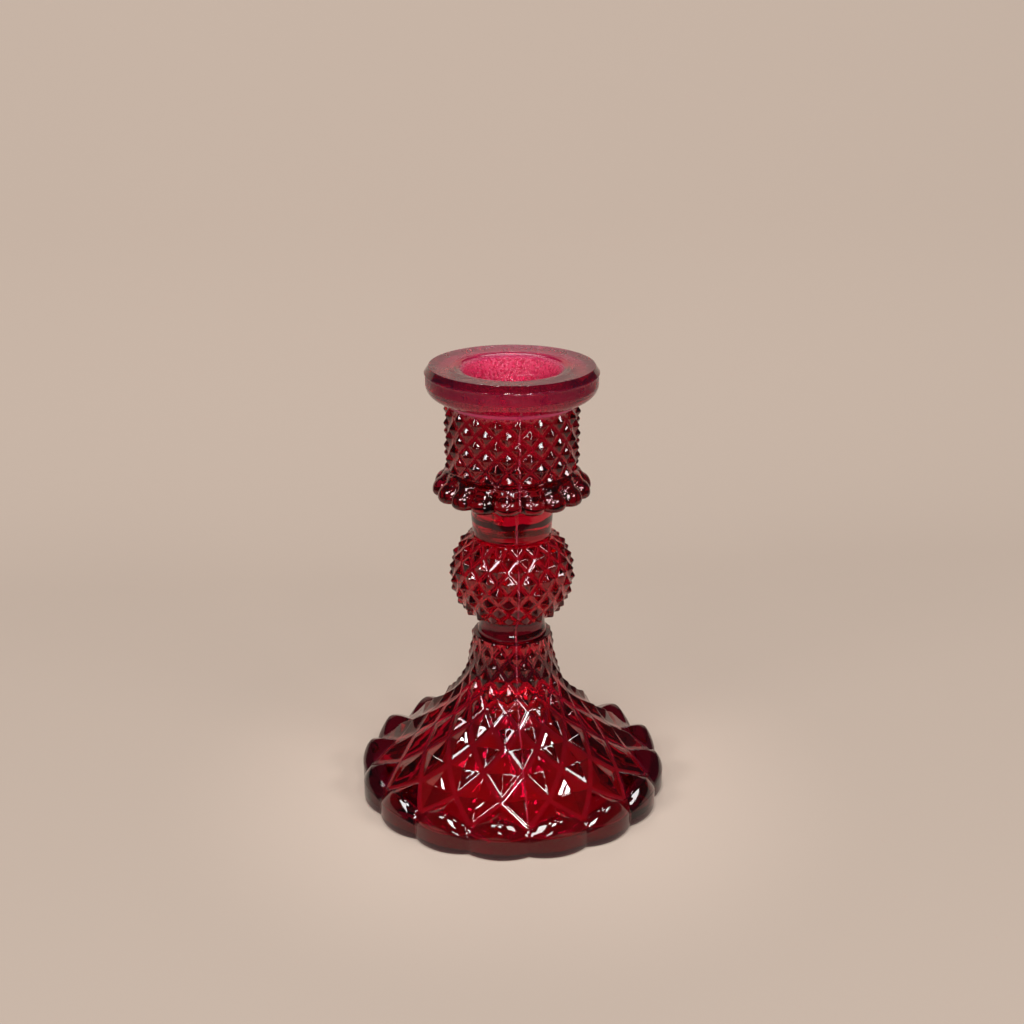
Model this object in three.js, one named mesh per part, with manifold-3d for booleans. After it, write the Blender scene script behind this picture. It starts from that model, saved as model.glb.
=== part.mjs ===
// Taper candle holder, pressed in one piece of ruby glass, as its nine sections.
// Millimetres, +Z up. The origin is on the table, at the middle of the foot.
// The mould seam faces -Y. The sections meet face to face on flat joints.

import * as THREE from 'three';
import { mergeVertices } from 'three/addons/utils/BufferGeometryUtils.js';
import Module from 'manifold-3d';

const wasm = await Module();
wasm.setup();

// Heights of the sections, from the table up
const edgeHeight = 6.5;
const skirtHeight = 25.5;
const stemHeight = 16.625;
const lowerNeckHeight = 6;
const knopHeight = 23.25;
const upperNeckHeight = 10.625;
const collarHeight = 8.375;
const socketHeight = 18.25;
const rimHeight = 10.75;

// Foot, measured in the grooves of its diamond net
const footRadius = 44;
const footLobes = 16;
const lobeDepth = 1.7;
const valleyInset = 3.8;
const valleyHeight = 8.1;
const shoulderInset = 3.1;
const shoulderRise = 3.3;
const wallTop = 4.8;
const wallTopRise = 1.6;
const bottomBevel = 0.6;
const skirtRadius = 23;
const skirtLevel = 21;
const stemRadius = 13.2;
const stemLevel = 32.4;
const stemTopRadius = 10.6;
const edgeStretch = 1;
const stemStretch = 1.4;
const skirtBowOut = 1;
const skirtBowDown = 2.9;
const stemBowIn = 1.2;
const footRelief = 2;
const stemRelief = 0.8;

// Hollow under the foot
const standingWidth = 6.6;
const footWall = 5;
const hollowHeight = 31;

// Necks
const lowerNeckRadius = 9.8;
const lowerNeckWaist = 9.2;
const upperNeckRadius = 10.9;
const upperNeckWaist = 11.3;
const neckRounding = 0.7;

// Knop
const knopRadius = 16.8;
const knopRise = 16;
const knopEquator = 11.75;
const knopPoints = 18;
const knopRows = 8;
const firstKnopRow = 0.69;
const knopRelief = 1.05;

// Drip collar
const collarBeads = 18;
const collarRadius = 21.9;
const beadDepth = 1.7;
const beadHeight = 3.9;
const beadTopRadius = 19.2;
const beadFootRadius = 19.4;
const underside = 1;
const collarLip = 1.2;

// Candle socket
const socketRadius = 17.7;
const socketPoints = 18;
const socketRows = 6;
const socketRelief = 1;
const firstSocketRow = 1;

// Rim and bore
const rimRadius = 23.6;
const rimBevelHeight = 1.85;
const rimBevelWidth = 1;
const rimWall = 3.1;
const rimStep = 0.3;
const bowlHeight = 4.1;
const coveRadius = 17.8;
const coveHeight = 1.6;
const mouthRadius = 15.6;
const mouthDip = 0.5;
const throatDepth = 6.5;
const boreRadius = 11.2;
const boreTaper = 0.4;
const boreDepth = 26;

// Flat bands between the pyramids, as a share of the way to a pyramid's middle
const bandShare = 0.14;
const roundSteps = 60;
const seamAngle = -Math.PI / 2;

const skirtBase = edgeHeight;
const stemBase = skirtBase + skirtHeight;
const lowerNeckBase = stemBase + stemHeight;
const knopBase = lowerNeckBase + lowerNeckHeight;
const upperNeckBase = knopBase + knopHeight;
const collarBase = upperNeckBase + upperNeckHeight;
const socketBase = collarBase + collarHeight;
const rimBase = socketBase + socketHeight;
const rimTop = rimBase + rimHeight;

// A point at a height and radius, at a share of the turn from the seam
function around(radius, height, step, steps) {
  const angle = seamAngle + 2 * Math.PI * (((step % steps) + steps) % steps / steps);
  return new THREE.Vector3(radius * Math.cos(angle), radius * Math.sin(angle), height);
}

function surface() {
  const corners = [];
  const triangle = (a, b, c) => corners.push(a, b, c);
  const quad = (a, b, c, d) => {
    triangle(a, b, c);
    triangle(a, c, d);
  };
  const solid = () => toSolid(new THREE.BufferGeometry().setFromPoints(corners));
  return { triangle, quad, solid };
}

function toSolid(geometry) {
  geometry.deleteAttribute('normal');
  geometry.deleteAttribute('uv');
  const merged = mergeVertices(geometry);
  const triangles = [];
  for (let k = 0; k < merged.index.count; k += 3) {
    const [a, b, c] = merged.index.array.slice(k, k + 3);
    if (a !== b && b !== c && c !== a) triangles.push(a, b, c);
  }
  const vertProperties = new Float32Array(merged.attributes.position.array);
  const mesh = new wasm.Mesh({ numProp: 3, vertProperties, triVerts: new Uint32Array(triangles) });
  return new wasm.Manifold(mesh);
}

// A turned solid, its outline given from the bottom up
function turned(outline, steps = roundSteps) {
  const points = outline.map(([radius, height]) => new THREE.Vector2(radius, height));
  return toSolid(new THREE.LatheGeometry(points, steps).rotateX(Math.PI / 2));
}

function slab(bottom, top) {
  const reach = 2 * footRadius;
  return turned([[0, bottom], [reach, bottom], [reach, top], [0, top]], 12);
}

// Pressed diamond net. Rows run from the bottom up, each half a cell on from the last.
// Four facets rise to each diamond's point, with flat bands in the grooves between.
function diamondNet(skin, rows, count, relief) {
  const steps = 2 * count;
  const node = (row, step) => around(rows[row].radius, rows[row].height, step, steps);
  for (let row = 1; row < rows.length - 1; row++) {
    const rise = rows[row + 1].height - rows[row - 1].height;
    const run = rows[row + 1].radius - rows[row - 1].radius;
    const slope = Math.hypot(rise, run);
    const { radius, height } = rows[row];
    const lift = relief(height);
    for (let cell = 0; cell < count; cell++) {
      const middle = 2 * cell + row + 1;
      const flat = around(radius, height, middle, steps);
      const tipRadius = radius + lift * rise / slope;
      const tipHeight = height - lift * run / slope;
      const tip = around(tipRadius, tipHeight, middle, steps);
      const outer = [
        node(row - 1, middle),
        node(row, middle + 1),
        node(row + 1, middle),
        node(row, middle - 1),
      ];
      const inner = outer.map((corner) => corner.clone().lerp(flat, bandShare));
      for (let side = 0; side < 4; side++) {
        const next = (side + 1) % 4;
        skin.quad(outer[side], outer[next], inner[next], inner[side]);
        skin.triangle(inner[side], inner[next], tip);
      }
    }
  }
}

// Closes a net at its first or last row with a flat face
function closeNet(skin, rows, count, atTop) {
  const last = atTop ? rows.length - 1 : 0;
  const steps = 2 * count;
  const middle = new THREE.Vector3(0, 0, rows[last].height);
  for (let cell = 0; cell < count; cell++) {
    const step = 2 * cell + last;
    const left = around(rows[last].radius, rows[last].height, step, steps);
    const right = around(rows[last].radius, rows[last].height, step + 2, steps);
    const beside = atTop ? last - 1 : 1;
    const corner = around(rows[beside].radius, rows[beside].height, step + 1, steps);
    if (atTop) {
      skin.triangle(right, left, corner);
      skin.triangle(left, right, middle);
    } else {
      skin.triangle(left, right, corner);
      skin.triangle(right, left, middle);
    }
  }
}

// Groove line of the foot, from the lobes up to the neck
const footCurve = new THREE.SplineCurve([
  new THREE.Vector2(footRadius - valleyInset, valleyHeight),
  new THREE.Vector2(
    (footRadius - valleyInset + skirtRadius) / 2 + skirtBowOut,
    (valleyHeight + skirtLevel) / 2 - skirtBowDown,
  ),
  new THREE.Vector2(skirtRadius, skirtLevel),
  new THREE.Vector2((skirtRadius + stemRadius) / 2 - stemBowIn, (skirtLevel + stemLevel) / 2),
  new THREE.Vector2(stemRadius, stemLevel),
  new THREE.Vector2(stemTopRadius, lowerNeckBase),
]);

// Net rows of the foot: diamonds stretch more where the stem is slender
function footRows() {
  const length = footCurve.getLength();
  const edge = footRadius - valleyInset;
  const rows = [];
  let along = 0;
  while (along < length) {
    const point = footCurve.getPointAt(along / length);
    rows.push({ radius: point.x, height: point.y });
    const share = Math.max(0, (point.x - stemTopRadius) / (edge - stemTopRadius));
    const stretch = stemStretch + (edgeStretch - stemStretch) * share ** 2;
    along += stretch * point.x * Math.PI / footLobes;
  }
  const last = rows[rows.length - 1];
  const step = last.height - rows[rows.length - 2].height;
  rows.push({ radius: stemTopRadius, height: Math.max(last.height, lowerNeckBase) + step });
  return rows;
}

// Outline of one lobe of the foot: crown is 1 at its middle and 0 in the groove
function lobeOutline(crown) {
  const radius = footRadius - lobeDepth * (1 - crown);
  const valley = footRadius - valleyInset;
  const ridge = valley + (valleyInset - shoulderInset) * crown;
  const ridgeHeight = valleyHeight + shoulderRise * crown;
  const wall = wallTop + wallTopRise * crown;
  const points = [];
  for (const turn of [0, 30, 60, 90]) {
    const angle = THREE.MathUtils.degToRad(turn);
    points.push([ridge + (radius - ridge) * Math.sin(angle), wall + (ridgeHeight - wall) * Math.cos(angle)]);
  }
  points.push([radius, bottomBevel]);
  points.push([radius - bottomBevel, 0]);
  return points;
}

const lobeSteps = 6;

function footSolid() {
  const rows = footRows();
  const skin = surface();
  diamondNet(skin, rows, footLobes, (height) => {
    const share = THREE.MathUtils.clamp((height - skirtLevel) / (lowerNeckBase - skirtLevel), 0, 1);
    return footRelief + (stemRelief - footRelief) * share;
  });
  closeNet(skin, rows, footLobes, true);
  const steps = lobeSteps * footLobes;
  const middle = new THREE.Vector3(0, 0, 0);
  for (let lobe = 0; lobe < footLobes; lobe++) {
    const top = around(rows[1].radius, rows[1].height, 2 * lobe + 1, 2 * footLobes);
    const columns = [];
    for (let step = 0; step <= lobeSteps; step++) {
      const crown = 1 - (2 * step / lobeSteps - 1) ** 2;
      const column = lobeOutline(crown).map(([radius, height]) =>
        around(radius, height, lobe * lobeSteps + step, steps));
      columns.push(column);
    }
    const inner = top.clone().lerp(columns[lobeSteps / 2][0], bandShare);
    skin.triangle(columns[0][0], inner, top);
    skin.triangle(inner, columns[lobeSteps][0], top);
    for (let step = 0; step < lobeSteps; step++) {
      const [left, right] = [columns[step], columns[step + 1]];
      skin.triangle(left[0], right[0], inner);
      for (let k = 1; k < left.length; k++) skin.quad(left[k], right[k], right[k - 1], left[k - 1]);
      skin.triangle(right[right.length - 1], left[left.length - 1], middle);
    }
  }
  return skin.solid();
}

// Hollow under the foot, which follows the groove line one wall inside it
function hollowSolid() {
  const outline = [[0, -1], [footRadius - standingWidth, -1], [footRadius - standingWidth, 0]];
  const samples = 12;
  for (let k = 1; k < samples; k++) {
    const point = footCurve.getPointAt(k / samples);
    const tangent = footCurve.getTangentAt(k / samples);
    const radius = point.x - footWall * tangent.y;
    const height = point.y + footWall * tangent.x;
    const [lastRadius, lastHeight] = outline[outline.length - 1];
    if (height < hollowHeight - 2 && radius > 0 && radius < lastRadius && height > lastHeight) {
      outline.push([radius, height]);
    }
  }
  const crown = outline[outline.length - 1][0];
  outline.push([0.55 * crown, hollowHeight - 0.6]);
  outline.push([0, hollowHeight]);
  return turned(outline, 48);
}

function neckSolid(base, top, bottomRadius, waist, topRadius) {
  return turned([
    [0, base],
    [bottomRadius, base],
    [bottomRadius, base + neckRounding],
    [waist, (base + top) / 2],
    [topRadius, top],
    [0, top],
  ], 48);
}

// Net rows on the ball, equally spaced along its side and running on past its flat joints
function knopSolid() {
  const lowAngle = Math.asin(-knopEquator / knopRise);
  const highAngle = Math.asin((knopHeight - knopEquator) / knopRise);
  const rows = [];
  for (let row = -2; row <= knopRows + 1; row++) {
    const angle = lowAngle + (highAngle - lowAngle) * (row + firstKnopRow) / (knopRows - 0.2);
    rows.push({
      radius: knopRadius * Math.cos(angle),
      height: knopBase + knopEquator + knopRise * Math.sin(angle),
    });
  }
  const skin = surface();
  diamondNet(skin, rows, knopPoints, () => knopRelief);
  closeNet(skin, rows, knopPoints, false);
  closeNet(skin, rows, knopPoints, true);
  return skin.solid().intersect(slab(knopBase, upperNeckBase));
}

// Beads of the drip collar: round blocks with a sloping top and sharp grooves between
function beadOutline(crown) {
  const radius = collarRadius - beadDepth * (1 - crown);
  const middle = collarBase + underside + beadHeight * 0.45;
  const top = collarBase + underside + beadHeight;
  return [
    [upperNeckWaist + 0.2, collarBase],
    [beadFootRadius - 0.5 * (1 - crown), collarBase + underside],
    [radius - 0.5, middle - 1],
    [radius, middle + 0.5],
    [radius - 0.7, top - 0.6 * (1 - crown)],
    [beadTopRadius, socketBase - collarLip],
    [beadTopRadius - 0.8, socketBase],
  ];
}

function collarSolid() {
  const skin = surface();
  const beadSteps = 4;
  const steps = beadSteps * collarBeads;
  const bottom = new THREE.Vector3(0, 0, collarBase);
  const top = new THREE.Vector3(0, 0, socketBase);
  const column = (step) => {
    const crown = 1 - (2 * (step % beadSteps) / beadSteps - 1) ** 2;
    return beadOutline(crown).map(([radius, height]) => around(radius, height, step, steps));
  };
  for (let step = 0; step < steps; step++) {
    const [left, right] = [column(step), column(step + 1)];
    const last = left.length - 1;
    skin.triangle(right[0], left[0], bottom);
    for (let k = 0; k < last; k++) skin.quad(left[k], right[k], right[k + 1], left[k + 1]);
    skin.triangle(left[last], right[last], top);
  }
  return skin.solid();
}

function boreSolid() {
  return turned([
    [0, rimTop - boreDepth],
    [boreRadius - boreTaper, rimTop - boreDepth],
    [boreRadius, rimTop - throatDepth],
    [boreRadius, rimTop + 1],
    [0, rimTop + 1],
  ]);
}

function socketSolid() {
  const rowStep = (socketHeight - firstSocketRow) / (socketRows - 0.4);
  const rows = [];
  for (let row = -2; row <= socketRows + 1; row++) {
    rows.push({ radius: socketRadius, height: socketBase + firstSocketRow + rowStep * row });
  }
  const skin = surface();
  diamondNet(skin, rows, socketPoints, () => socketRelief);
  closeNet(skin, rows, socketPoints, false);
  closeNet(skin, rows, socketPoints, true);
  return skin.solid().intersect(slab(socketBase, rimBase)).subtract(boreSolid());
}

// Rim: plain band, cove, rounded bowl, upright wall, bevel and a slightly dished top
function rimSolid() {
  const wallRadius = rimRadius - rimStep;
  const bevel = rimTop - rimBevelHeight;
  const bowlTop = bevel - rimWall;
  const outline = [[boreRadius, rimBase], [coveRadius, rimBase]];
  for (const turn of [0, 20, 40, 60, 80]) {
    const angle = THREE.MathUtils.degToRad(turn);
    outline.push([
      coveRadius + (wallRadius - coveRadius) * Math.sin(angle),
      bowlTop - (bowlTop - rimBase - coveHeight) * Math.cos(angle),
    ]);
  }
  outline.push([wallRadius, bowlTop + 0.8], [wallRadius, bevel - 0.5], [rimRadius, bevel]);
  outline.push([rimRadius - rimBevelWidth, rimTop]);
  const lip = rimTop - mouthDip;
  outline.push([mouthRadius + 1.2, rimTop - 0.2], [mouthRadius, lip]);
  for (const turn of [40, 65, 90]) {
    const angle = THREE.MathUtils.degToRad(turn);
    outline.push([
      boreRadius + (mouthRadius - boreRadius) * (1 - Math.sin(angle)),
      rimTop - throatDepth + (throatDepth - mouthDip) * Math.cos(angle),
    ]);
  }
  outline.push([boreRadius, rimBase]);
  return turned(outline);
}

const ruby = {
  transparent: true,
  opacity: 0.75,
  metalness: 0,
};

function section(name, solid, colour, roughness) {
  const { vertProperties, triVerts } = solid.getMesh();
  const geometry = new THREE.BufferGeometry();
  geometry.setAttribute('position', new THREE.BufferAttribute(vertProperties, 3));
  geometry.setIndex(new THREE.BufferAttribute(triVerts, 1));
  geometry.computeVertexNormals();
  const mesh = new THREE.Mesh(geometry, new THREE.MeshStandardMaterial({ ...ruby, color: colour, roughness }));
  mesh.name = name;
  return mesh;
}

const foot = footSolid().subtract(hollowSolid());
const holder = new THREE.Group();
holder.name = 'taper_candle_holder';
holder.add(
  section('scalloped_base_rim', foot.intersect(slab(-1, skirtBase)), 0x4a0a14, 0.12),
  section('foot_skirt', foot.intersect(slab(skirtBase, stemBase)), 0x8c1020, 0.1),
  section('foot_stem', foot.intersect(slab(stemBase, lowerNeckBase)), 0x7d0f1e, 0.1),
  section('lower_neck', neckSolid(lowerNeckBase, knopBase, lowerNeckRadius, lowerNeckWaist, lowerNeckRadius), 0x2e0a0f, 0.15),
  section('knop', knopSolid(), 0x7a0e20, 0.1),
  section('upper_neck', neckSolid(upperNeckBase, collarBase, upperNeckRadius, upperNeckWaist, upperNeckWaist), 0x850c22, 0.12),
  section('drip_collar', collarSolid(), 0x3c0a14, 0.12),
  section('candle_socket', socketSolid(), 0x7d1026, 0.1),
  section('flared_rim', rimSolid(), 0xb01244, 0.3),
);

export default holder;
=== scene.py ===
import math

import bmesh
import bpy
import numpy as np
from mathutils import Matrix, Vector
from mathutils.bvhtree import BVHTree


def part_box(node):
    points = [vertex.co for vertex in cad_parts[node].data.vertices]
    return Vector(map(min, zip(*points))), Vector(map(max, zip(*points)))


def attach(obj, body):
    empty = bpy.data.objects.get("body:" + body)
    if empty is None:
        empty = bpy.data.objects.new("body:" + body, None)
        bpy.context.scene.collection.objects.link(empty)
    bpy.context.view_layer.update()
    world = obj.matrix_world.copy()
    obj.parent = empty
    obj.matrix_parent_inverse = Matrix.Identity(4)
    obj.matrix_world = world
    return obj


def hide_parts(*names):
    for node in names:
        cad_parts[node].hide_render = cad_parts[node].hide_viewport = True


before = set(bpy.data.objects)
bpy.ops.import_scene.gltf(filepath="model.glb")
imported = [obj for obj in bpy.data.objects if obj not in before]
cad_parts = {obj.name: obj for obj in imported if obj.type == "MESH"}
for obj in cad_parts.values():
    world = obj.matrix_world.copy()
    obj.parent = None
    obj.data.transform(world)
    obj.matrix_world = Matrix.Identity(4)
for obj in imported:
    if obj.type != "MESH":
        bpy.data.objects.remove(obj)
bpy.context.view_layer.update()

mm = 0.001
everyNode = sorted(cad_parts)


def level(node, side):
    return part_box(node)[side].z / mm  # side 0 is the node's bottom, 1 its top


levels = {
    "footTop": level("foot_stem", 1),
    "knopBase": level("knop", 0),
    "knopTop": level("knop", 1),
    "collarBase": level("drip_collar", 0),
    "socketBase": level("candle_socket", 0),
    "rimBase": level("flared_rim", 0),
    "rimTop": level("flared_rim", 1),
}
print("frame read, section levels in mm:", {k: round(v, 3) for k, v in levels.items()})


# Meshes are made in millimetres and scaled at the end. Turns start at the seam, which faces -Y


def place(radius, height, turn):
    angle = turn - math.pi / 2
    return np.array([radius * math.cos(angle), radius * math.sin(angle), height])


def spin(points, turn):
    c, s = math.cos(turn), math.sin(turn)
    return points @ np.array([[c, s, 0], [-s, c, 0], [0, 0, 1]])


def softRamp(x, ease):
    # 0 below 0 and x above it, with an eased corner
    bent = (x + ease) ** 2 / (4 * ease)
    return np.where(x < -ease, 0, np.where(x > ease, x, bent))


def softMin(a, b, ease):
    gap = np.maximum(ease - np.abs(a - b), 0)
    return np.minimum(a, b) - gap**2 / (4 * ease)


def halfWidth(side, slant):
    # from the middle of a diamond to its edge; side is half its width, slant its whole height
    return side * slant / np.hypot(2 * side, slant)


alongShares = [0, 0.05, 0.12, 0.5, 0.88, 0.95, 1]  # every edge of a net is cut at these shares


def facetGrid(depths):
    # a facet from a diamond's edge, where u runs, to its middle, where d is 1
    wide, last = len(alongShares), len(depths) - 1
    faces = []
    for i in range(last):
        for j in range(wide - 1):
            a, b = i * wide + j, (i + 1) * wide + j
            if i == last - 1:
                faces.append((a, a + 1, last * wide))
            elif j < (wide - 1) / 2:
                faces += [(a, a + 1, b + 1), (a, b + 1, b)]
            else:
                faces += [(a, a + 1, b), (a + 1, b + 1, b)]
    u, d = [], []
    for depth in depths[:-1]:
        u += alongShares
        d += [depth] * wide
    return np.array(u + [0.5]), np.array(d + [1.0]), np.array(faces)


class Skin:
    def __init__(self):
        self.points, self.faces, self.total = [], [], 0

    def add(self, points, faces):
        self.points.append(np.asarray(points, float))
        self.faces.append(np.asarray(faces) + self.total)
        self.total += len(points)

    def solid(self, name):
        # welds the patches and closes what is open with fans from the axis
        mesh = bpy.data.meshes.new(name)
        points = np.concatenate(self.points) * mm
        mesh.from_pydata(points.tolist(), [], np.concatenate(self.faces).tolist())
        bm = bmesh.new()
        bm.from_mesh(mesh)
        bmesh.ops.remove_doubles(bm, verts=bm.verts, dist=2e-7)
        rims = [e for e in bm.edges if len(e.link_loops) == 1]
        if rims:
            heights = [e.verts[0].co.z for e in rims]
            middle = (min(heights) + max(heights)) / 2
            low = bm.verts.new((0, 0, min(heights)))
            high = bm.verts.new((0, 0, max(heights)))
            for e in rims:
                loop = e.link_loops[0]
                centre = high if e.verts[0].co.z > middle else low
                bm.faces.new((loop.link_loop_next.vert, loop.vert, centre))
            bmesh.ops.delete(bm, geom=[v for v in (low, high) if not v.link_faces], context="VERTS")
        bm.to_mesh(mesh)
        bm.free()
        return added(name, mesh)


def added(name, data):
    # an object for a mesh, a lamp or the camera, linked to the scene
    piece = bpy.data.objects.new(name, data)
    bpy.context.scene.collection.objects.link(piece)
    return piece


def turned(name, outline, steps=144):
    # a turned solid from an outline that starts and ends on the axis, given from the bottom up
    outline = np.array(outline, float)
    skin = Skin()
    turns = np.linspace(0, 2 * math.pi, steps, endpoint=False)
    middle = outline[1:-1]
    rings = np.array([[place(r, z, t) for r, z in middle] for t in turns])
    count = len(middle)
    points = [*rings.reshape(-1, 3), (0, 0, outline[0][1]), (0, 0, outline[-1][1])]
    bottom, top = len(points) - 2, len(points) - 1
    faces = []
    for k in range(steps):
        a, b = k * count, (k + 1) % steps * count
        faces.append((b, a, bottom))
        for j in range(count - 1):
            faces += [(a + j, b + j, b + j + 1), (a + j, b + j + 1, a + j + 1)]
        faces.append((a + count - 1, b + count - 1, top))
    skin.add(points, faces)
    return skin.solid(name)


def turnedBetween(name, base, top, low, high):
    # turned too, from points over the base and then points measured from the top
    outline = [(r, base + z) for r, z in low] + [(r, top + z) for r, z in high]
    return turned(name, [(0, outline[0][1]), *outline, (0, outline[-1][1])])


def arc(centre, radii, start, end, steps):
    # points on an ellipse, its angles in degrees from +r towards +z
    angles = np.radians(np.linspace(start, end, steps))
    return [(centre[0] + radii[0] * math.cos(a), centre[1] + radii[1] * math.sin(a)) for a in angles]


def spline(points, steps):
    # a smooth curve through the points, evenly stepped along its length
    points = np.array(points, float)
    ends = np.vstack([2 * points[0] - points[1], points, 2 * points[-1] - points[-2]])
    curve = []
    for p0, p1, p2, p3 in zip(ends, ends[1:], ends[2:], ends[3:]):
        for t in np.linspace(0, 1, 24, endpoint=False):
            curve.append(0.5 * (2 * p1 + (p2 - p0) * t + (2 * p0 - 5 * p1 + 4 * p2 - p3) * t**2
                                + (3 * p1 - p0 - 3 * p2 + p3) * t**3))
    curve.append(points[-1])
    curve = np.array(curve)
    along = np.concatenate([[0], np.cumsum(np.hypot(*np.diff(curve, axis=0).T))])
    even = np.linspace(0, along[-1], steps)
    return np.column_stack([np.interp(even, along, curve[:, k]) for k in (0, 1)])


def join(piece, other, how):
    step = piece.modifiers.new(how.lower(), "BOOLEAN")
    step.operation = how
    step.solver = "MANIFOLD"
    step.object = other
    bpy.context.view_layer.update()
    graph = bpy.context.evaluated_depsgraph_get()
    made = bpy.data.meshes.new_from_object(piece.evaluated_get(graph))
    piece.modifiers.clear()
    piece.data = made
    bpy.data.objects.remove(other)


def pyramid(u, d, band, crease, ridge):
    # height share over a diamond, flat on its bands, eased into its facets and rounded on its ridges
    left = u * (1 - d) + d / 2
    ends = softMin(left, 1 - left, ridge)
    inside = 2 * softMin(softMin(d / 2, 1 - d / 2, ridge), ends, ridge)
    return softRamp((inside - band) / (1 - band), crease / (1 - band))


def diamondNet(skin, rows, count, net):
    # pressed pyramids on a net of flat bands; rows run upwards, each half a cell on from the last
    half = math.pi / count
    for row in range(1, len(rows) - 1):
        low, here, high = rows[row - 1], rows[row], rows[row + 1]
        rise, run = high[1] - low[1], high[0] - low[0]
        normal = np.array([rise, 0, -run]) / math.hypot(rise, run)
        side = here[0] * math.sin(half)
        corners = np.array([
            (low[0], 0, low[1]),
            (here[0] * math.cos(half), side, here[1]),
            (high[0], 0, high[1]),
            (here[0] * math.cos(half), -side, here[1]),
        ])
        centre = np.array([here[0], 0, here[1]])
        across = halfWidth(side, math.hypot(rise, run))
        band, ridge = net["band"] / 2 / across, net["rounding"] / across / 2
        crease = net["crease"] / across
        bend = [] if net["hollow"] == 1 else [0.5 + 0.5 * band]  # only a hollow facet needs a middle cut
        tip = 1 - 1.4 * ridge  # from here to the middle the point is rounded
        u, d, faces = facetGrid([0, band - crease, band, band + crease, *bend, tip, 1])
        lift = net["relief"](here[1]) * pyramid(u, d, band, crease, ridge) ** net["hollow"]
        for k in range(4):
            edge = corners[k] + (corners[(k + 1) % 4] - corners[k]) * u[:, None]
            patch = edge + (centre - edge) * d[:, None] + normal * lift[:, None]
            for cell in range(count):
                turn = half * (2 * cell + row + 1)
                skin.add(spin(patch, turn - math.pi / 2), faces)


# Foot. In a net, band is the width between two points, hollow the power that dishes the facets

foot = {
    "radius": 43.98,
    "lobes": 16,
    "lobeDepth": 1.7,
    "valley": (40.2, 8.1),       # where two lobes meet the net
    "crest": (41.4, 11.1),       # middle of a lobe's ridge
    "wallTop": 4.8,
    "wallTopRise": 1.8,
    "groove": [(33.2, 12.2), (23.9, 21.6), (18.0, 27.2), (14.4, 32.6), (12.3, 39)],
    "topRadius": 10.9,
    "edgeStretch": 1.0,
    "stemStretch": 1.4,
    "net": {
        "band": 1.2,
        "crease": 0.3,
        "rounding": 0.36,
        "hollow": 1.25,
        "relief": lambda z: np.interp(z, [14, 30, 40, 48], [1.9, 1.15, 0.7, 0.6]),
    },
    "crestShares": [0, 0.05, 0.1, 0.16, 0.24, 0.34, 0.45, 0.57, 0.7, 0.85, 1],
    "crestRound": 1.6,
    "crestRadius": 0.9,
    "crestBend": [(0, 0), (0.38, -0.06), (0.75, -0.3), (1.15, -0.8)],  # times the crest's radius
    "faceBow": [(0.2, 0.09), (0.45, 0.14), (0.7, 0.12), (0.9, 0.04)],  # share of the way, bulge
    "shoulder": [(0.1, 0.05), (0.02, -0.1), (0, -0.35)],               # inset, height over the wall
    "standing": [(0, 1.5), (0.1, 0.75), (0.38, 0.25), (0.8, 0)],       # inset, height
    "trimLow": [(60, -5)],
    "trimHigh": [(60, -12), (12.6, -1.2), (11.2, -0.35), (10.2, 0)],
}


def footCurve():
    points = [foot["valley"], *foot["groove"], (foot["topRadius"], levels["footTop"])]
    return spline(points, 600)


def footRows(curve):
    along = np.concatenate([[0], np.cumsum(np.hypot(*np.diff(curve, axis=0).T))])
    rows, at = [], 0.0
    edge, top = foot["valley"][0], foot["topRadius"]
    while at < along[-1]:
        r = float(np.interp(at, along, curve[:, 0]))
        rows.append((r, float(np.interp(at, along, curve[:, 1]))))
        share = max(0, (r - top) / (edge - top))
        stretch = foot["stemStretch"] + (foot["edgeStretch"] - foot["stemStretch"]) * share**2
        at += stretch * r * math.pi / foot["lobes"]
    step = rows[-1][1] - rows[-2][1]
    rows.append((top, rows[-1][1] + step))
    rows.append((top, rows[-1][1] + step))
    return rows


def crestPatches(rows):
    # the last half diamond's two facets, risen to a round crest, and the line of that crest
    half = math.pi / foot["lobes"]
    valley, crest, peak = foot["valley"], foot["crest"], rows[1]
    side = valley[0] * math.sin(half)
    right = np.array([valley[0] * math.cos(half), side, valley[1]])
    left = right * np.array([1, -1, 1])
    top = np.array([peak[0], 0, peak[1]])
    centre = (left + right) / 2
    rise = np.array([crest[0], 0, crest[1]]) - centre
    across = halfWidth(side, 2 * math.hypot(peak[1] - valley[1], peak[0] - valley[0]))
    band, ridge = foot["net"]["band"] / 2 / across, foot["net"]["rounding"] / across / 2
    u, d, faces = facetGrid(foot["crestShares"])
    patches, ridges = [], []
    wide = len(alongShares)
    for start, end, crestEnd in ((right, top, 0), (top, left, wide - 1)):
        near = u * (1 - d) + d / 2
        other = 1 - near if crestEnd == 0 else near
        inside = 2 * softMin(d / 2, other, ridge)
        climb = np.clip(softRamp((inside - band) / (1 - band), 0.5 * ridge), 0, 1)
        climb = 1 - (1 - climb) ** foot["crestRound"]
        edge = start + (end - start) * u[:, None]
        patch = edge + (centre - edge) * d[:, None] + rise * climb[:, None]
        patches.append(patch)
        ridges.append(list(patch[crestEnd:-1:wide]) + [patch[-1]])
    crestLine = ridges[1][:-1] + ridges[0][::-1]  # left valley, over the middle, right valley
    return patches, faces, crestLine


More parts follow.
